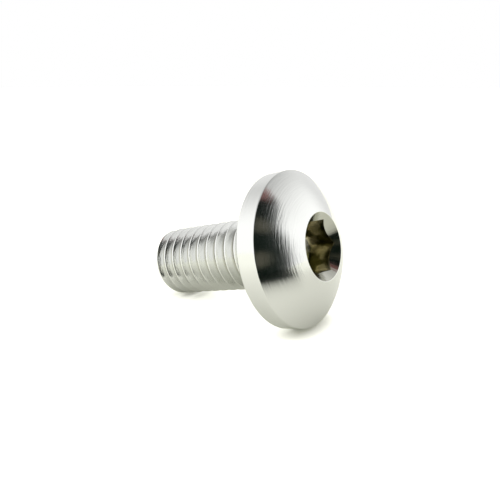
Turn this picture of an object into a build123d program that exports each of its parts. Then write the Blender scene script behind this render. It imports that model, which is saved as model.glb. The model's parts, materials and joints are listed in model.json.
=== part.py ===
from build123d import *

import os
from math import atan2, ceil, cos, radians, sin, tan

# Button head screw, M6 coarse thread, turned from one bar. Sizes in millimetres, angles in degrees.
# It is made upright, with the underside of its head at z = 0 and the thread pointing down, and is
# then laid on its side, where the rim of its head and the last crest of its thread touch the floor.

# thread
thread_diameter = 6.0
thread_allowance = 0.06  # how far the crests stay under the nominal diameter
pitch = 1.0
flank_angle = 60.0
crest_share = 1 / 8  # flat on a crest, as a share of the pitch
root_share = 1 / 6  # flat in a root, as a share of the pitch
crest_setback = 0.28  # on the floor side, from the chamfer at the end to the first full crest

# shank
length = 12.0  # from the underside of the head to the end face
end_chamfer = 0.3
neck_turns = 1.8  # length of the relief between thread and head, in turns of the thread
neck_clearance = 0.15  # how far the relief is cut below the thread's root
neck_slope_angle = 60.0  # of the slope from the relief up to the thread, from the axis
seat_clearance = 0.09  # from the thread's crests out to where the seat under the head starts

# head
head_diameter = 12.4
rim_height = 1.8
rim_chamfer = 0.3  # on the edge that faces the thread
rim_edge_radius = 0.12  # on the edge that faces the dome
dome_rise = 1.97
dome_bulge = 0.18  # height of the dome's arc over its chord

# socket
hex_across = 4.0  # between opposite flats
hex_depth = 2.5
hex_turn = 24.4  # of a corner, from the floor side
mouth_margin = 0.35  # from a corner of the hexagon out to the edge of the mouth
mouth_angle = 90.0  # included angle of the countersink
drill_clearance = 0.15  # how far the drilled hole stays inside the flats
drill_angle = 118.0

# worked out from the sizes above
flank_slope = tan(radians(flank_angle / 2))
crest_half_width = crest_share * pitch / 2
root_half_width = root_share * pitch / 2
crest_radius = (thread_diameter - thread_allowance) / 2
root_radius = crest_radius - (pitch / 2 - crest_half_width - root_half_width) / flank_slope
neck_radius = root_radius - neck_clearance
neck_length = neck_turns * pitch
neck_fillet = crest_radius + seat_clearance - neck_radius
end_radius = crest_radius - end_chamfer
head_radius = head_diameter / 2
head_height = rim_height + dome_rise
mouth_radius = hex_across / 2 / cos(radians(30)) + mouth_margin
drill_radius = hex_across / 2 - drill_clearance
mouth_depth = (mouth_radius - drill_radius) / tan(radians(mouth_angle / 2))
point_depth = drill_radius / tan(radians(drill_angle / 2))

# lying down, the screw touches the floor with the edge of its rim and the lower edge of a crest
contact_z = end_chamfer - length + crest_setback
tilt = atan2(head_radius - crest_radius, rim_chamfer - contact_z)
seat_height = head_radius * cos(tilt) - rim_chamfer * sin(tilt)

# the groove's section reaches past the crests, by less than would make its turns meet
groove_overlap = crest_half_width / 2 / flank_slope
groove_radius = crest_radius + groove_overlap
groove_half_width = root_half_width + (groove_radius - root_radius) * flank_slope
neck_slope_length = (groove_radius - neck_radius) / tan(radians(neck_slope_angle))

# the groove ends in the middle of the relief's straight stretch, and starts below the end face, at
# the angle that puts the crest on the floor in its place
groove_top = -(neck_fillet + neck_length) / 2
groove_turns = ceil((length + groove_top) / pitch + 0.5)
groove_bottom = groove_top - groove_turns * pitch
groove_angle = -360 * (contact_z + crest_half_width - groove_bottom) / pitch

with BuildPart() as upright:
    # the blank, drilled and countersunk
    with BuildSketch(Plane.XZ) as half_section:
        with BuildLine():
            Polyline(
                (0, -length),
                (end_radius, -length),
                (crest_radius, end_chamfer - length),
                (crest_radius, 0),
                (head_radius - rim_chamfer, 0),
                (head_radius, rim_chamfer),
                (head_radius, rim_height),
            )
            SagittaArc((head_radius, rim_height), (mouth_radius, head_height), -dome_bulge)
            Polyline(
                (mouth_radius, head_height),
                (drill_radius, head_height - mouth_depth),
                (drill_radius, head_height - hex_depth),
                (0, head_height - hex_depth - point_depth),
                (0, -length),
            )
        make_face()
        fillet(half_section.vertices().sort_by_distance((head_radius, rim_height))[0], rim_edge_radius)
    revolve(axis=Axis.Z)

    # the hexagon socket, broached down the drilled hole
    with BuildSketch(Plane.XY.offset(head_height)):
        RegularPolygon(hex_across / 2, 6, major_radius=False, rotation=hex_turn)
    extrude(amount=-hex_depth, mode=Mode.SUBTRACT)

    # the thread's groove, turn by turn, up to the middle of the stretch that the neck takes away
    groove_start = Plane.XY.offset(groove_bottom).rotated((0, 0, groove_angle))
    with BuildLine(groove_start) as groove_path:
        for turn in range(groove_turns):
            Helix(pitch, pitch, crest_radius, center=(0, 0, turn * pitch))
    with BuildSketch(Plane(groove_start.origin, x_dir=groove_start.x_dir, z_dir=groove_start.y_dir)):
        with BuildLine():
            Polyline(
                (root_radius, -root_half_width),
                (groove_radius, -groove_half_width),
                (groove_radius, groove_half_width),
                (root_radius, root_half_width),
                close=True,
            )
        make_face()
    sweep(path=groove_path.wire(), is_frenet=True, mode=Mode.SUBTRACT)

    # the neck, with a slope up to the crests and a fillet into the head
    with BuildSketch(Plane.XZ):
        with BuildLine():
            Polyline(
                (neck_radius + neck_fillet, 0),
                (groove_radius, 0),
                (groove_radius, -neck_length - neck_slope_length),
                (neck_radius, -neck_length),
                (neck_radius, -neck_fillet),
            )
            RadiusArc((neck_radius, -neck_fillet), (neck_radius + neck_fillet, 0), neck_fillet)
        make_face()
    revolve(axis=Axis.Z, mode=Mode.SUBTRACT)

# laid down: local -x becomes the floor side and local z the axis of the screw
lying = Plane((0, 0, seat_height), x_dir=(-sin(tilt), 0, cos(tilt)), z_dir=(cos(tilt), 0, sin(tilt)))
with BuildPart(lying) as laid:
    add(upright.part)

# centred over the origin
with BuildPart() as screw:
    with Locations((-laid.part.bounding_box().center().X, 0, 0)):
        add(laid.part)

screw.part.label = "screw"
os.makedirs("parts", exist_ok=True)
export_step(screw.part, "parts/screw.step")
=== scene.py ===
import json
from math import atan2, ceil, cos, pi, radians, sin, tan

import bmesh
import bpy
from mathutils import Matrix, Vector


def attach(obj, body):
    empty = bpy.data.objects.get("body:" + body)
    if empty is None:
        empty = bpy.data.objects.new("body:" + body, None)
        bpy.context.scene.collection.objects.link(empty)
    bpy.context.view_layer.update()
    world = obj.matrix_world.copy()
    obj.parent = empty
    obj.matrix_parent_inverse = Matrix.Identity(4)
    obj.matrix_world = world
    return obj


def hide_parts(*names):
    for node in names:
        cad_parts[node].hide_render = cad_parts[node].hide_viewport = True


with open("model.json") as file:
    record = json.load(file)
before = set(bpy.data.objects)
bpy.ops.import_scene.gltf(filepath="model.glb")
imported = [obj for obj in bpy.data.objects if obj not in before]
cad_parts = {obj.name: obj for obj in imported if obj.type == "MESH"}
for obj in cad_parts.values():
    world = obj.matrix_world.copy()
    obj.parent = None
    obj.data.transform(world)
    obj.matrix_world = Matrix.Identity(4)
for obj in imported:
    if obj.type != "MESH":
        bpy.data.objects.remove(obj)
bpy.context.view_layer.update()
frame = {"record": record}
metresPerMm = 0.001


def linearColour(hexText):
    # an sRGB hex value as the shaders take it, with full opacity
    channels = [int(hexText[i:i + 2], 16) / 255 for i in (0, 2, 4)]
    return (*[c / 12.92 if c < 0.04045 else ((c + 0.055) / 1.055) ** 2.4 for c in channels], 1.0)


def addNode(tree, kind, inputs=(), **settings):
    # inputs: a list, or a dictionary by socket name or number; each a value, an output or a node
    node = tree.nodes.new(kind)
    for name, value in settings.items():
        setattr(node, name, value)
    pairs = inputs.items() if isinstance(inputs, dict) else enumerate(inputs)
    for key, value in pairs:
        source = value.outputs[0] if isinstance(value, bpy.types.Node) else value
        if isinstance(source, bpy.types.NodeSocket):
            tree.links.new(source, node.inputs[key])
        elif source is not None:
            node.inputs[key].default_value = source
    return node


def linkObject(name, mesh):
    thing = bpy.data.objects.new(name, mesh)
    bpy.context.scene.collection.objects.link(thing)
    return thing


# where the screw lies: its axis and the middle of its top come from the frame's socket mount
mounts = {mount["name"]: mount for mount in frame["record"]["mounts"]}
screwAxis = Vector(mounts["hex_socket"]["axis"]).normalized()
crownCentre = Vector(mounts["hex_socket"]["pos_m"])

# sizes in mm and degrees, heights from the underside of the head
threadSizes = {
    "length": 12.0,
    "endChamfer": 0.3,
    "pitch": 1.0,
    "crestRadius": 2.97,
    "rootRadius": 2.357,
    "crestWidth": 0.125,
    "crestSetback": 0.28,      # on the floor side, from the chamfer up to the first full crest
    "flankAngle": 57.0,        # 60 by the standard; a little less here, for what the flanks mirror
    "crestRounding": 0.05,
    "rootRounding": 0.12,
    "neckRadius": 2.2066,
    "neckLength": 1.8,
    "neckSlope": 60.0,         # from the axis
    "top": -1.3,               # where the head's own mesh takes over
    "rowsPerTurn": 32,
    "spareRows": 4,            # the top cuts them off
    "innerRing": 0.98,         # of the end face's radius: a ring that keeps the face flat
    "mergeWithin": 0.0005,
}
headSizes = {
    "radius": 6.2,
    "rimHeight": 1.8,
    "rimChamfer": 0.3,
    "rimEdge": 0.12,
    "domeRise": 1.97,
    "domeBulge": 0.18,
    "seatRadius": 3.06,
    "edgeBreak": 0.04,         # what deburring leaves on the other edges
    "hexAcross": 4.0,
    "hexDepth": 2.5,
    "hexTurn": 24.4,           # of a corner, from the floor side
    "mouthRadius": 2.659,
    "mouthAngle": 90.0,
    "drillRadius": 1.85,
    "drillAngle": 118.0,
    "columnsPerFlat": 24,
    "domeSteps": 28,
    "filletSteps": 10,
    "hold": 0.02,              # from an edge to the extra point that keeps the flat beside it flat
    "sharpFrom": 35.0,         # an edge that turns by more is shaded sharp
}
columns = 6 * headSizes["columnsPerFlat"]
headHeight = headSizes["rimHeight"] + headSizes["domeRise"]


def placement():
    # local z runs up the axis to the head, and local x points to the floor side
    across = Vector((0, 1, 0))
    floorSide = across.cross(screwAxis)
    turned = Matrix((floorSide, across, screwAxis)).transposed().to_4x4()
    seat = crownCentre - screwAxis * headHeight * metresPerMm
    return Matrix.Translation(seat) @ turned @ Matrix.Scale(metresPerMm, 4)


def edgeBreak(before, corner, after, radius, steps=6):
    # a corner of a profile rounded to a radius, with a point beside each end that keeps the flats flat
    corner = Vector(corner)
    inward, outward = (Vector(before) - corner).normalized(), (Vector(after) - corner).normalized()
    half = inward.angle(outward) / 2
    reach = radius / tan(half)
    centre = corner + (inward + outward).normalized() * (radius / sin(half))
    start, end = corner + inward * reach, corner + outward * reach
    arc = []
    for k in range(steps + 1):
        spoke = (start - centre).slerp(end - centre, k / steps, start - centre)
        arc.append(centre + spoke.normalized() * radius)
    hold = min(radius, headSizes["hold"])
    return [start + inward * hold, *arc, end + outward * hold]


def arcThrough(start, end, bulge, steps):
    # points of an arc from start to end that stands proud of its chord by bulge, to the right of the way
    start, end = Vector(start), Vector(end)
    chord = end - start
    radius = chord.length ** 2 / (8 * bulge) + bulge / 2
    outward = Vector((chord.y, -chord.x)).normalized()
    centre = (start + end) / 2 - outward * (radius - bulge)
    first = atan2(*(start - centre).yx)
    turn = 2 * atan2(chord.length / 2, radius - bulge)
    return [centre + radius * Vector((cos(first + turn * k / steps), sin(first + turn * k / steps)))
            for k in range(steps + 1)]


def headProfile():
    # from the neck outwards, round the rim, over the dome and into the mouth: (radius, height)
    head, neckRadius = headSizes, threadSizes["neckRadius"]
    fillet = head["seatRadius"] - neckRadius
    points = [Vector((neckRadius, threadSizes["top"])), Vector((neckRadius, -fillet - head["hold"]))]
    for k in range(head["filletSteps"] + 1):
        angle = k / head["filletSteps"] * pi / 2
        points.append(Vector((head["seatRadius"] - fillet * cos(angle), fillet * (sin(angle) - 1))))
    points.append(Vector((head["seatRadius"] + head["hold"], 0)))
    rimFoot, rimTop = (head["radius"], head["rimChamfer"]), (head["radius"], head["rimHeight"])
    corners = [(head["seatRadius"], 0), (head["radius"] - head["rimChamfer"], 0), rimFoot, rimTop]
    dome = arcThrough(rimTop, (head["mouthRadius"], headHeight), head["domeBulge"], head["domeSteps"])
    # a point on the mouth's cone, 1 mm down
    downMouth = (head["mouthRadius"] - tan(radians(head["mouthAngle"] / 2)), headHeight - 1)
    for before, corner, after in zip(corners, corners[1:], corners[2:]):
        points += edgeBreak(before, corner, after, head["edgeBreak"])
    points += edgeBreak(corners[-2], corners[-1], dome[1], head["rimEdge"])
    points += dome[1:-1]
    points += edgeBreak(dome[-2], dome[-1], downMouth, head["edgeBreak"])
    return points


def buildHead():
    head = headSizes
    coneRate = tan(radians(head["mouthAngle"] / 2))
    pointRate = 1 / tan(radians(head["drillAngle"] / 2))
    floorHeight = headHeight - head["hexDepth"]
    angles = [radians(head["hexTurn"]) + 2 * pi * k / columns for k in range(columns)]
    # the hexagon's radius at each column, a corner at the first
    flatAngle = pi / 3
    hexRadii = [head["hexAcross"] / 2 / cos((2 * pi * k / columns) % flatAngle - flatAngle / 2)
                for k in range(columns)]

    # a ring of (radius, height) for each level: the turned profile, then down the hexagon to the drill
    rings = [[(point.x, point.y)] * columns for point in headProfile()]
    rings.append([(r, headHeight - (head["mouthRadius"] - r) / coneRate) for r in hexRadii])
    rings.append([(r, floorHeight) for r in hexRadii])
    rings.append([(head["drillRadius"], floorHeight)] * columns)
    rings.append([(head["drillRadius"] - head["hold"], floorHeight - head["hold"] * pointRate)] * columns)

    body = bmesh.new()
    rows = [[body.verts.new((r * cos(a), r * sin(a), z)) for a, (r, z) in zip(angles, ring)]
            for ring in rings]
    for lower, upper in zip(rows, rows[1:]):
        for k in range(columns):
            after = (k + 1) % columns
            body.faces.new((lower[k], lower[after], upper[after], upper[k]))
    drillTip = body.verts.new((0, 0, floorHeight - head["drillRadius"] * pointRate))
    for k in range(columns):
        body.faces.new((rows[-1][k], rows[-1][(k + 1) % columns], drillTip))
    mesh = bpy.data.meshes.new("screwLook")
    body.to_mesh(mesh)
    body.free()
    return mesh


def threadValues():
    # the tree's inputs; a sloping side is given by its radius at one height and by its rate
    thread = threadSizes
    flankRate = 1 / tan(radians(thread["flankAngle"] / 2))
    slopeRate = tan(radians(thread["neckSlope"]))
    chamferTop = thread["endChamfer"] - thread["length"]
    floorCrest = chamferTop + thread["crestSetback"] + thread["crestWidth"] / 2
    firstCrest = floorCrest + headSizes["hexTurn"] / 360 * thread["pitch"]
    lowest = firstCrest - ceil((firstCrest + thread["length"]) / thread["pitch"] + 1) * thread["pitch"]
    rowsToTop = ceil((thread["top"] - lowest) / thread["pitch"] * thread["rowsPerTurn"])
    return {
        "columns": columns,
        "rows": rowsToTop + thread["spareRows"],
        "rowStep": thread["pitch"] / thread["rowsPerTurn"],
        "lowestRow": lowest,
        "firstAngle": radians(headSizes["hexTurn"]),
        "firstCrest": firstCrest,
        "pitch": thread["pitch"],
        "top": thread["top"],
        "endFace": -thread["length"],
        "chamferAtSeat": thread["crestRadius"] - thread["endChamfer"] + thread["length"],
        "crestRadius": thread["crestRadius"],
        "crestRounding": thread["crestRounding"],
        "rootRadius": thread["rootRadius"],
        "rootRounding": thread["rootRounding"],
        "flankAtCrest": thread["crestRadius"] + thread["crestWidth"] / 2 * flankRate,
        "flankFall": -flankRate,
        "neckRadius": thread["neckRadius"],
        "slopeAtSeat": thread["neckRadius"] - thread["neckLength"] * slopeRate,
        "slopeFall": -slopeRate,
        "innerRing": thread["innerRing"],
        "mergeWithin": thread["mergeWithin"],
    }


def threadRadius(tree, size, height, crest):
    # the thread's profile, by the distance from the nearest crest
    overCrest = addNode(tree, "ShaderNodeMath", [height, crest], operation="SUBTRACT")
    halfPitch = addNode(tree, "ShaderNodeMath", [size["pitch"], 0.5], operation="MULTIPLY")
    fromCrest = addNode(tree, "ShaderNodeMath", [overCrest, halfPitch], operation="PINGPONG")
    flank = addNode(tree, "ShaderNodeMath", [fromCrest, size["flankFall"], size["flankAtCrest"]],
                    operation="MULTIPLY_ADD")
    groove = addNode(tree, "ShaderNodeMath", [flank, size["rootRadius"], size["rootRounding"]],
                     operation="SMOOTH_MAX")
    thread = addNode(tree, "ShaderNodeMath", [groove, size["crestRadius"], size["crestRounding"]],
                     operation="SMOOTH_MIN")

    # what the chamfer at the end and the neck leave of it
    chamfer = addNode(tree, "ShaderNodeMath", [height, size["chamferAtSeat"]], operation="ADD")
    slope = addNode(tree, "ShaderNodeMath", [height, size["slopeFall"], size["slopeAtSeat"]],
                    operation="MULTIPLY_ADD")
    neck = addNode(tree, "ShaderNodeMath", [slope, size["neckRadius"]], operation="MAXIMUM")
    trimmed = addNode(tree, "ShaderNodeMath", [thread, chamfer], operation="MINIMUM")
    return addNode(tree, "ShaderNodeMath", [trimmed, neck], operation="MINIMUM")


def threadTree(values, material):
    # a sheet of helical rows, trimmed flat at both ends, joined to the head that comes in
    tree = bpy.data.node_groups.new("threadedShank", "GeometryNodeTree")
    tree.interface.new_socket("Geometry", in_out="INPUT", socket_type="NodeSocketGeometry")
    tree.interface.new_socket("Geometry", in_out="OUTPUT", socket_type="NodeSocketGeometry")
    for name, value in values.items():
        kind = "NodeSocketInt" if isinstance(value, int) else "NodeSocketFloat"
        tree.interface.new_socket(name, in_out="INPUT", socket_type=kind)
    size = addNode(tree, "NodeGroupInput").outputs

    edgeColumns = addNode(tree, "ShaderNodeMath", [size["columns"], 1.0], operation="ADD")
    sheet = addNode(tree, "GeometryNodeMeshGrid", {
        "Size X": 1.0, "Size Y": 1.0, "Vertices X": edgeColumns, "Vertices Y": size["rows"]})
    place = addNode(tree, "ShaderNodeSeparateXYZ", [sheet.outputs["UV Map"]]).outputs
    along = place["X"]
    lastRow = addNode(tree, "ShaderNodeMath", [size["rows"], 1.0], operation="SUBTRACT")
    rowShare = addNode(tree, "ShaderNodeMath", [place["Y"], lastRow], operation="MULTIPLY")
    row = addNode(tree, "ShaderNodeMath", [rowShare], operation="ROUND")

    # each row climbs one pitch in a turn; those below the end face lie on it
    rowFoot = addNode(tree, "ShaderNodeMath", [row, size["rowStep"], size["lowestRow"]],
                      operation="MULTIPLY_ADD")
    climb = addNode(tree, "ShaderNodeMath", [along, size["pitch"], rowFoot], operation="MULTIPLY_ADD")
    height = addNode(tree, "ShaderNodeClamp", [climb, size["endFace"], size["top"]])
    crest = addNode(tree, "ShaderNodeMath", [along, size["pitch"], size["firstCrest"]],
                    operation="MULTIPLY_ADD")
    radius = threadRadius(tree, size, height, crest)

    # row 0 is the middle of the end face and row 1 a ring just inside its edge
    inFace = addNode(tree, "ShaderNodeMath", [row, size["innerRing"]], operation="MULTIPLY")
    spread = addNode(tree, "ShaderNodeMath", [inFace, 1.0], operation="MINIMUM")
    reach = addNode(tree, "ShaderNodeMath", [radius, spread], operation="MULTIPLY")
    angle = addNode(tree, "ShaderNodeMath", [along, 2 * pi, size["firstAngle"]], operation="MULTIPLY_ADD")
    cosine = addNode(tree, "ShaderNodeMath", [angle], operation="COSINE")
    sine = addNode(tree, "ShaderNodeMath", [angle], operation="SINE")
    sideways = addNode(tree, "ShaderNodeMath", [reach, cosine], operation="MULTIPLY")
    across = addNode(tree, "ShaderNodeMath", [reach, sine], operation="MULTIPLY")
    point = addNode(tree, "ShaderNodeCombineXYZ", [sideways, across, height])

    # the sheet is closed along its seam and at the middle of the end face, then joined to the head
    wound = addNode(tree, "GeometryNodeSetPosition", {"Geometry": sheet, "Position": point})
    closed = addNode(tree, "GeometryNodeMergeByDistance", {
        "Geometry": wound, "Distance": size["mergeWithin"]})
    both = addNode(tree, "GeometryNodeJoinGeometry", [size["Geometry"]])
    tree.links.new(closed.outputs[0], both.inputs[0])
    whole = addNode(tree, "GeometryNodeMergeByDistance", {
        "Geometry": both, "Distance": size["mergeWithin"]})
    real = addNode(tree, "GeometryNodeRealizeInstances", [whole])
    finished = addNode(tree, "GeometryNodeSetMaterial", {"Geometry": real, "Material": material})
    addNode(tree, "NodeGroupOutput", [finished])
    return tree


def buildScrew(material):
    made = linkObject("screwBlank", buildHead())
    values = threadValues()
    modifier = made.modifiers.new("thread", "NODES")
    modifier.node_group = threadTree(values, material)
    for item in modifier.node_group.interface.items_tree:
        if item.in_out == "INPUT" and item.name in values:
            modifier[item.identifier] = values[item.name]
    evaluated = made.evaluated_get(bpy.context.evaluated_depsgraph_get())
    mesh = bpy.data.meshes.new_from_object(evaluated)
    bpy.data.objects.remove(made)

    body = bmesh.new()
    body.from_mesh(mesh)
    bmesh.ops.recalc_face_normals(body, faces=body.faces)
    openEdges = sum(not edge.is_manifold for edge in body.edges)
    body.to_mesh(mesh)
    volume = round(body.calc_volume(), 2)
    print("screw:", len(body.faces), "faces,", openEdges, "open edges, volume mm3", volume)
    body.free()
    mesh.transform(placement())
    mesh.polygons.foreach_set("use_smooth", [True] * len(mesh.polygons))
    mesh.set_sharp_from_angle(angle=radians(headSizes["sharpFrom"]))
    return linkObject("screwBody", mesh)


# sizes in mm unless a note says otherwise
steelSizes = {
    "colour": "E4E5E2",
    "roughness": 0.14,
    "smear": 0.7,
    "ringWidth": 0.1,          # as wide as the rings have to be to show
    "ringPatches": 3.0,        # in a radian: how often a ring changes on its way round
    "ringDepth": 0.008,
    "threadRoughness": 0.15,   # the rolled thread is a little duller, and streaked where the metal flowed
    "streak": (0.8, 0.08),     # round the axis and along it
    "streakDepth": 0.012,
    "rootPaintedShade": "BEBDB0",    # painted shade deep in the thread's roots
    "rootShadeReach": (0.03, 0.2),   # above the root: up to where the painted shade is full, and where it ends
    # painted shade on the mouth's cone, a recess
    "mouthPaintedShade": "C6C6BC",
    "mouthInset": 0.01,        # from the edge of the mouth to where its painted shade starts
    # painted shade of the socket's walls
    "wallPaintedShade": "7E7C52",
    "wallPaintedHighlight": "EEE8D2",     # painted highlight, in random patches
    "wallHighlightRange": (0.44, 0.56),  # of the noise: where the painted highlight starts, and where it is full
    "wallStart": (0.02, 0.1),  # below the mouth's cone: where the walls' painted shade starts and where it is full
    "wallEdge": (0.15, 0.45),  # below the cone, a painted shadow: down to where the walls are darkest, and where that ends
    "wallEdgeShade": 0.35,     # share of their colour that the painted shadow leaves where they are darkest
    "wallPatches": 0.9,        # size of the patches of painted highlight
    "wallRoughness": 0.24,
    "chatterMarks": 16.0,      # in a radian, round the socket
    "chatterDepth": 0.01,
}


def screwSpace(tree, here):
    # the screw's own space, in mm, with z up its axis from the underside of the head
    inScrew = placement().inverted()
    local = addNode(tree, "ShaderNodeMapping", {
        "Vector": here, "Location": inScrew.translation, "Rotation": inScrew.to_euler(),
        "Scale": inScrew.to_scale()})
    place = addNode(tree, "ShaderNodeSeparateXYZ", [local]).outputs
    flatPlace = addNode(tree, "ShaderNodeCombineXYZ", [place["X"], place["Y"], 0.0])
    radius = addNode(tree, "ShaderNodeVectorMath", [flatPlace], operation="LENGTH").outputs["Value"]
    spoke = addNode(tree, "ShaderNodeVectorMath", [flatPlace], operation="NORMALIZE")
    return local, spoke, radius, place["Z"]


def upTheProfile(tree, here):
    # the direction up the profile, square to the rings
    axis = addNode(tree, "ShaderNodeCombineXYZ", list(screwAxis))
    fromAxis = addNode(tree, "ShaderNodeVectorMath", [here, list(crownCentre)], operation="SUBTRACT")
    aroundAxis = addNode(tree, "ShaderNodeVectorMath", [axis, fromAxis], operation="CROSS_PRODUCT")
    facing = addNode(tree, "ShaderNodeNewGeometry").outputs["Normal"]
    upwards = addNode(tree, "ShaderNodeVectorMath", [facing, aroundAxis], operation="CROSS_PRODUCT")
    return addNode(tree, "ShaderNodeVectorMath", [upwards], operation="NORMALIZE")


def outerColour(tree, radius, onThread, inSocket):
    # the bare steel, with painted shade deep in the thread; the mouth of the socket is painted a little
    # darker, as painted shade
    steel, root = steelSizes, threadSizes["rootRadius"]
    full, none = steel["rootShadeReach"]
    fromRoot = addNode(tree, "ShaderNodeMapRange", {
        "Value": radius, "From Min": root + none, "From Max": root + full})
    # painted shade in the thread's roots, fading out above them
    rootShadeShare = addNode(tree, "ShaderNodeMath", [fromRoot, onThread], operation="MULTIPLY")
    shank = addNode(tree, "ShaderNodeMix", {
        0: rootShadeShare, 6: linearColour(steel["colour"]), 7: linearColour(steel["rootPaintedShade"])},
        data_type="RGBA")
    # the mouth's cone gets painted shade
    outer = addNode(tree, "ShaderNodeMix", {
        0: inSocket, 6: shank.outputs[2], 7: linearColour(steel["mouthPaintedShade"])}, data_type="RGBA")
    return outer.outputs[2]


def wallPaintedShade(tree, local, below):
    # broached walls in painted shade, with painted highlights in random patches and a painted shadow just
    # below the mouth
    steel = steelSizes
    # random patches of painted highlight on the painted shade
    patchNoise = addNode(tree, "ShaderNodeTexNoise", {
        "Vector": local, "Scale": 1 / steel["wallPatches"], "Detail": 1.0})
    start, fullHighlight = steel["wallHighlightRange"]
    highlightShare = addNode(tree, "ShaderNodeMapRange", {"Value": patchNoise, "From Min": start, "From Max": fullHighlight})
    paintedWall = addNode(tree, "ShaderNodeMix", {
        0: highlightShare, 6: linearColour(steel["wallPaintedShade"]), 7: linearColour(steel["wallPaintedHighlight"])},
        data_type="RGBA")
    dark, clear = steel["wallEdge"]
    # a painted shadow just below the mouth's cone
    shade = addNode(tree, "ShaderNodeMapRange", {
        "Value": below, "From Min": dark, "From Max": clear, "To Min": steel["wallEdgeShade"]})
    return addNode(tree, "ShaderNodeVectorMath", {0: paintedWall.outputs[2], "Scale": shade}, operation="SCALE")


def outerRelief(tree, local, spoke, radius, height, onThread):
    # rings on the head: noise that changes fast along the profile and slowly round the axis
    steel = steelSizes
    spread = addNode(tree, "ShaderNodeVectorMath", {0: spoke, "Scale": steel["ringPatches"]},
                     operation="SCALE")
    ringPlace = addNode(tree, "ShaderNodeMath", [radius, 1 / steel["ringWidth"]], operation="MULTIPLY")
    ringHeight = addNode(tree, "ShaderNodeMath", [height, 1 / steel["ringWidth"]], operation="MULTIPLY")
    lift = addNode(tree, "ShaderNodeCombineXYZ", [0.0, 0.0, ringPlace])
    ringPoint = addNode(tree, "ShaderNodeVectorMath", [spread, lift], operation="ADD")
    rings = addNode(tree, "ShaderNodeTexNoise", {
        "Vector": ringPoint, "W": ringHeight, "Scale": 1.0, "Detail": 3.0, "Roughness": 0.5},
        noise_dimensions="4D")
    ringLift = addNode(tree, "ShaderNodeMath", [rings, steel["ringDepth"]], operation="MULTIPLY")

    # streaks on the thread: noise stretched round the axis
    around, along = steel["streak"]
    streakPlace = addNode(tree, "ShaderNodeVectorMath", [local, (1 / around, 1 / around, 1 / along)],
                          operation="MULTIPLY")
    streaks = addNode(tree, "ShaderNodeTexNoise", {
        "Vector": streakPlace, "Scale": 1.0, "Detail": 4.0, "Roughness": 0.6})
    streakLift = addNode(tree, "ShaderNodeMath", [streaks, steel["streakDepth"]], operation="MULTIPLY")
    return addNode(tree, "ShaderNodeMix", [onThread, None, ringLift, streakLift])


def turnedStainless():
    # stainless steel, bright turned: a nearly neutral metal, a little warm, whose reflections are
    # smeared away from the axis by fine rings that the lathe and the polishing left
    steel = steelSizes
    material = bpy.data.materials.new("turnedStainless")
    material.use_nodes = True
    tree = material.node_tree
    shader = tree.nodes["Principled BSDF"]
    shader.inputs["Metallic"].default_value = 1.0
    shader.inputs["Anisotropic"].default_value = steel["smear"]
    here = addNode(tree, "ShaderNodeTexCoord").outputs["Object"]
    local, spoke, radius, height = screwSpace(tree, here)
    tree.links.new(upTheProfile(tree, here).outputs[0], shader.inputs["Tangent"])

    # the thread, the socket, and the walls below the cone of the mouth, which they cut in scallops
    onThread = addNode(tree, "ShaderNodeMath", [height, threadSizes["top"]], operation="LESS_THAN")
    mouthRadius, coneSlope = headSizes["mouthRadius"], 1 / tan(radians(headSizes["mouthAngle"] / 2))
    inMouth = addNode(tree, "ShaderNodeMath", [radius, mouthRadius - steel["mouthInset"]],
                      operation="LESS_THAN")
    onHead = addNode(tree, "ShaderNodeMath", [height, 0.0], operation="GREATER_THAN")
    inSocket = addNode(tree, "ShaderNodeMath", [inMouth, onHead], operation="MULTIPLY")
    cone = addNode(tree, "ShaderNodeMath", [radius, coneSlope, headHeight - mouthRadius * coneSlope],
                   operation="MULTIPLY_ADD")
    below = addNode(tree, "ShaderNodeMath", [cone, height], operation="SUBTRACT")
    start, full = steel["wallStart"]
    belowCone = addNode(tree, "ShaderNodeMapRange", {"Value": below, "From Min": start, "From Max": full})
    onWalls = addNode(tree, "ShaderNodeMath", [belowCone, inSocket], operation="MULTIPLY")

    dull = addNode(tree, "ShaderNodeMix", [onThread, None, steel["roughness"], steel["threadRoughness"]])
    roughness = addNode(tree, "ShaderNodeMix", [onWalls, None, dull, steel["wallRoughness"]])
    tree.links.new(roughness.outputs[0], shader.inputs["Roughness"])
    colour = addNode(tree, "ShaderNodeMix", {
        0: onWalls, 6: outerColour(tree, radius, onThread, inSocket), 7: wallPaintedShade(tree, local, below)},
        data_type="RGBA")
    tree.links.new(colour.outputs[2], shader.inputs["Base Color"])

    # chatter marks run the other way, down into the socket
    chatter = addNode(tree, "ShaderNodeTexNoise", {
        "Vector": spoke, "Scale": steel["chatterMarks"], "Detail": 2.0})
    chatterLift = addNode(tree, "ShaderNodeMath", [chatter, steel["chatterDepth"]], operation="MULTIPLY")
    outerLift = outerRelief(tree, local, spoke, radius, height, onThread)
    relief = addNode(tree, "ShaderNodeMix", [inSocket, None, outerLift, chatterLift])
    bump = addNode(tree, "ShaderNodeBump", {"Height": relief, "Distance": metresPerMm, "Strength": 1.0})
    tree.links.new(bump.outputs[0], shader.inputs["Normal"])
    print("steel:", len(tree.nodes), "nodes")
    return material


screw = buildScrew(turnedStainless())
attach(screw, "root")
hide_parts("screw")


def nearWay(tree, ways, place, strength=1.0):
    # a soft disc round a direction: full within its half width, and fading to 0
    around, up, half, fade = [radians(value) for value in place]
    middle = (cos(around) * cos(up), sin(around) * cos(up), sin(up))
    nearness = addNode(tree, "ShaderNodeVectorMath", [ways, middle], operation="DOT_PRODUCT")
    return addNode(tree, "ShaderNodeMapRange", {
        "Value": nearness.outputs["Value"], "From Min": cos(half + fade), "From Max": cos(half),
        "To Max": strength}, interpolation_type="SMOOTHSTEP")


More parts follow.
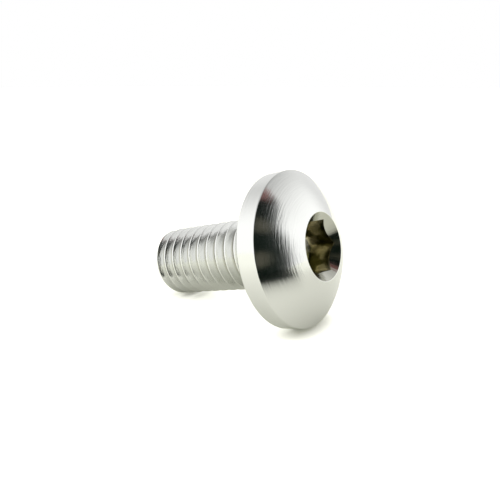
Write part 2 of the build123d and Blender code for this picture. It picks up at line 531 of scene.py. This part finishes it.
def within(tree, limits):
    # 1 inside all limits: (value, edge, softness), where a negative softness keeps what is below the edge
    share = None
    for value, edge, soft in limits:
        inside = addNode(tree, "ShaderNodeMapRange", {
            "Value": value, "From Min": edge - soft, "From Max": edge + soft},
            interpolation_type="SMOOTHSTEP")
        if share is not None:
            inside = addNode(tree, "ShaderNodeMath", [share, inside], operation="MULTIPLY")
        share = inside
    return share


# the dark opening that the camera looks in through, in degrees as seen from the screw
openingLook = {
    "colour": "0F1A14",
    "from": -75.0,             # azimuths of its sides
    "to": 5.0,
    "top": 70.0,               # elevation of its top at azimuth 0
    "topFall": 0.4,            # how fast that falls as the azimuth grows
    "softness": 4.0,
    "leanFrom": 33.0,          # above this elevation the side at "to" leans outwards
    "lean": 4.5,               # times the square of the rise, in radians
    # what shows dimly in it: azimuth, elevation, half width, how far it fades
    "dimThings": [(-12.0, 42.0, 2.0, 8.0), (-22.0, 12.0, 2.0, 8.0)],
    "dimColour": "5E5C50",
}

# the floor in m, brightness where 1 is white
paperLook = {
    "halfWidth": 2.0,
    "colour": "ECEDDE",
    "roughness": 0.9,
    "specular": 0.2,
    "glowColour": "FFFFF8",
    "glowForCamera": 0.85,     # makes it white up to the contact shadows
    "contactReach": 0.001,
    "glowForGloss": (0.39, 0.74),      # in reflections: at the dimmest place, and away from it
    "dimmest": (0.024, 0.004, 0.0),    # that place, in front of the dome
    "dimReach": (0.005, 0.05),         # from there: where the glow starts to rise and where it is full
    "shadeReach": 0.02,        # how far the screw shades the glow in reflections
    "shadePower": 1.3,
    # under the opening it gives way to the dark, between these distances from the head
    "ends": (0.006, 0.042),
}


def paperGlow(tree, here, ray):
    # the camera's share stops at the contact shadows; the reflections' share fades towards the screw
    # and towards the dimmest place
    paper = paperLook
    clear = addNode(tree, "ShaderNodeAmbientOcclusion", {"Distance": paper["contactReach"]}).outputs["AO"]
    forCamera = addNode(tree, "ShaderNodeMath", [clear, paper["glowForCamera"]], operation="MULTIPLY")
    seen = addNode(tree, "ShaderNodeMath", [forCamera, ray["Is Camera Ray"]], operation="MULTIPLY")
    shade = addNode(tree, "ShaderNodeAmbientOcclusion", {"Distance": paper["shadeReach"]}).outputs["AO"]
    deeper = addNode(tree, "ShaderNodeMath", [shade, paper["shadePower"]], operation="POWER")
    fromDimmest = addNode(tree, "ShaderNodeVectorMath", [here, paper["dimmest"]], operation="DISTANCE")
    near, far = paper["dimReach"]
    low, high = paper["glowForGloss"]
    rising = addNode(tree, "ShaderNodeMapRange", {
        "Value": fromDimmest.outputs["Value"], "From Min": near, "From Max": far,
        "To Min": low, "To Max": high})
    forGloss = addNode(tree, "ShaderNodeMath", [deeper, rising], operation="MULTIPLY")
    added = addNode(tree, "ShaderNodeMath", [forGloss, ray["Is Glossy Ray"], seen],
                    operation="MULTIPLY_ADD")
    return addNode(tree, "ShaderNodeEmission", {
        "Color": linearColour(paper["glowColour"]), "Strength": added})


def beyondPaper(tree, here):
    # 1 where the paper has given way to the dark under the opening
    foot = (crownCentre.x, crownCentre.y, 0.0)
    fromHead = addNode(tree, "ShaderNodeVectorMath", [here, foot], operation="SUBTRACT")
    away = addNode(tree, "ShaderNodeVectorMath", [fromHead], operation="LENGTH").outputs["Value"]
    way = addNode(tree, "ShaderNodeSeparateXYZ", [fromHead]).outputs
    azimuth = addNode(tree, "ShaderNodeMath", [way["Y"], way["X"]], operation="ARCTAN2")
    near, far = paperLook["ends"]
    soft = radians(openingLook["softness"])
    return within(tree, [(away, (near + far) / 2, (far - near) / 2),
                         (azimuth, radians(openingLook["from"]), soft),
                         (azimuth, radians(openingLook["to"]), -soft)])


def palePaper():
    # thick matt paper: nearly white, a little warm, with no gloss to speak of
    material = bpy.data.materials.new("palePaper")
    material.use_nodes = True
    tree = material.node_tree
    shader = tree.nodes["Principled BSDF"]
    shader.inputs["Base Color"].default_value = linearColour(paperLook["colour"])
    shader.inputs["Roughness"].default_value = paperLook["roughness"]
    shader.inputs["Specular IOR Level"].default_value = paperLook["specular"]
    ray = addNode(tree, "ShaderNodeLightPath").outputs
    here = addNode(tree, "ShaderNodeTexCoord").outputs["Object"]
    paper = addNode(tree, "ShaderNodeAddShader", [shader, paperGlow(tree, here, ray)])

    # the camera sees paper everywhere, and only reflections see the dark beyond it
    beyond = beyondPaper(tree, here)
    share = addNode(tree, "ShaderNodeMath", [beyond, ray["Is Glossy Ray"]], operation="MULTIPLY")
    dark = addNode(tree, "ShaderNodeBsdfDiffuse", {"Color": linearColour(openingLook["colour"])})
    whole = addNode(tree, "ShaderNodeMixShader", [share, paper, dark])
    tree.links.new(whole.outputs[0], tree.nodes["Material Output"].inputs["Surface"])
    return material


def addFloor():
    half = paperLook["halfWidth"]
    mesh = bpy.data.meshes.new("floor")
    mesh.from_pydata([(-half, -half, 0), (half, -half, 0), (half, half, 0), (-half, half, 0)], [],
                     [(0, 1, 2, 3)])
    mesh.materials.append(palePaper())
    floor = linkObject("floor", mesh)


# the room: brightness where 1 is white, directions in degrees as seen from the screw
roomLook = {
    "colour": "FFFFFF",
    "level": 0.9,
    # soft lights, and a dim field overhead: azimuth, elevation, half width, how far it fades, brightness
    "lights": [(38.0, 17.0, 14.0, 38.0, 0.42), (215.0, 3.0, 22.0, 45.0, 0.4),
               (120.0, 85.0, 10.0, 55.0, -0.45)],
    # something red above the opening: azimuth, elevation, half width, how far it fades
    "redThing": (32.0, 67.0, 3.0, 9.0),
    "redColour": "A45A54",
}


def openingShare(tree, azimuth, elevation):
    # 1 inside the opening, with its leaning side and its falling top
    opening = openingLook
    aboveLean = addNode(tree, "ShaderNodeMath", [elevation, radians(opening["leanFrom"])],
                        operation="SUBTRACT")
    leaning = addNode(tree, "ShaderNodeMath", [aboveLean, 0.0], operation="MAXIMUM")
    lean = addNode(tree, "ShaderNodeMath", [leaning, leaning], operation="MULTIPLY")
    straight = addNode(tree, "ShaderNodeMath", [lean, -opening["lean"], azimuth],
                       operation="MULTIPLY_ADD")
    slanting = addNode(tree, "ShaderNodeMath", [azimuth, opening["topFall"], elevation],
                       operation="MULTIPLY_ADD")
    soft = radians(opening["softness"])
    return within(tree, [(straight, radians(opening["to"]), -soft),
                         (azimuth, radians(opening["from"]), soft),
                         (slanting, radians(opening["top"]), -soft)])


def whiteRoom():
    world = bpy.data.worlds.new("whiteRoom")
    bpy.context.scene.world = world
    world.use_nodes = True
    tree = world.node_tree
    ways = addNode(tree, "ShaderNodeTexCoord").outputs["Generated"]
    way = addNode(tree, "ShaderNodeSeparateXYZ", [ways]).outputs
    azimuth = addNode(tree, "ShaderNodeMath", [way["Y"], way["X"]], operation="ARCTAN2")
    elevation = addNode(tree, "ShaderNodeMath", [way["Z"]], operation="ARCSINE")

    # the camera itself sees a plain white room
    ray = addNode(tree, "ShaderNodeLightPath").outputs
    unseen = addNode(tree, "ShaderNodeMath", [1.0, ray["Is Camera Ray"]], operation="SUBTRACT")
    opening = openingShare(tree, azimuth, elevation)
    dark = addNode(tree, "ShaderNodeMath", [opening, unseen], operation="MULTIPLY")
    first, second = [nearWay(tree, ways, place) for place in openingLook["dimThings"]]
    dimly = addNode(tree, "ShaderNodeMath", [first, second], operation="MAXIMUM")
    inside = addNode(tree, "ShaderNodeMix", {
        0: dimly, 6: linearColour(openingLook["colour"]), 7: linearColour(openingLook["dimColour"])},
        data_type="RGBA")
    room = addNode(tree, "ShaderNodeMix", {
        0: dark, 6: linearColour(roomLook["colour"]), 7: inside.outputs[2]}, data_type="RGBA")
    redThere = nearWay(tree, ways, roomLook["redThing"])
    red = addNode(tree, "ShaderNodeMath", [redThere, unseen], operation="MULTIPLY")
    colour = addNode(tree, "ShaderNodeMix", {
        0: red, 6: room.outputs[2], 7: linearColour(roomLook["redColour"])}, data_type="RGBA")

    bright = roomLook["level"]
    for *place, strength in roomLook["lights"]:
        more = nearWay(tree, ways, place, strength)
        bright = addNode(tree, "ShaderNodeMath", [bright, more], operation="ADD")
    level = addNode(tree, "ShaderNodeMix", [unseen, None, 1.0, bright])
    tree.links.new(colour.outputs[2], tree.nodes["Background"].inputs["Color"])
    tree.links.new(level.outputs[0], tree.nodes["Background"].inputs["Strength"])


# the camera, in mm from the middle of the seat under the head
cameraSizes = {
    "offset": (21.141, -34.119, 12.755),
    "forward": (-0.55462, 0.77517, -0.30251),
    "lens": 37.757,
    "sensorWidth": 36.0,
    "clipStart": 1.0,
}


def addCamera():
    seatPoint = placement().translation
    data = bpy.data.cameras.new("camera")
    data.lens = cameraSizes["lens"]
    data.sensor_width = cameraSizes["sensorWidth"]
    data.clip_start = cameraSizes["clipStart"] * metresPerMm
    camera = linkObject("camera", data)
    camera.location = seatPoint + Vector(cameraSizes["offset"]) * metresPerMm
    camera.rotation_euler = Vector(cameraSizes["forward"]).to_track_quat("-Z", "Y").to_euler()
    bpy.context.scene.camera = camera


addFloor()
whiteRoom()
addCamera()
bpy.context.scene.view_settings.view_transform = "Standard"
print("studio: floor, room and camera")
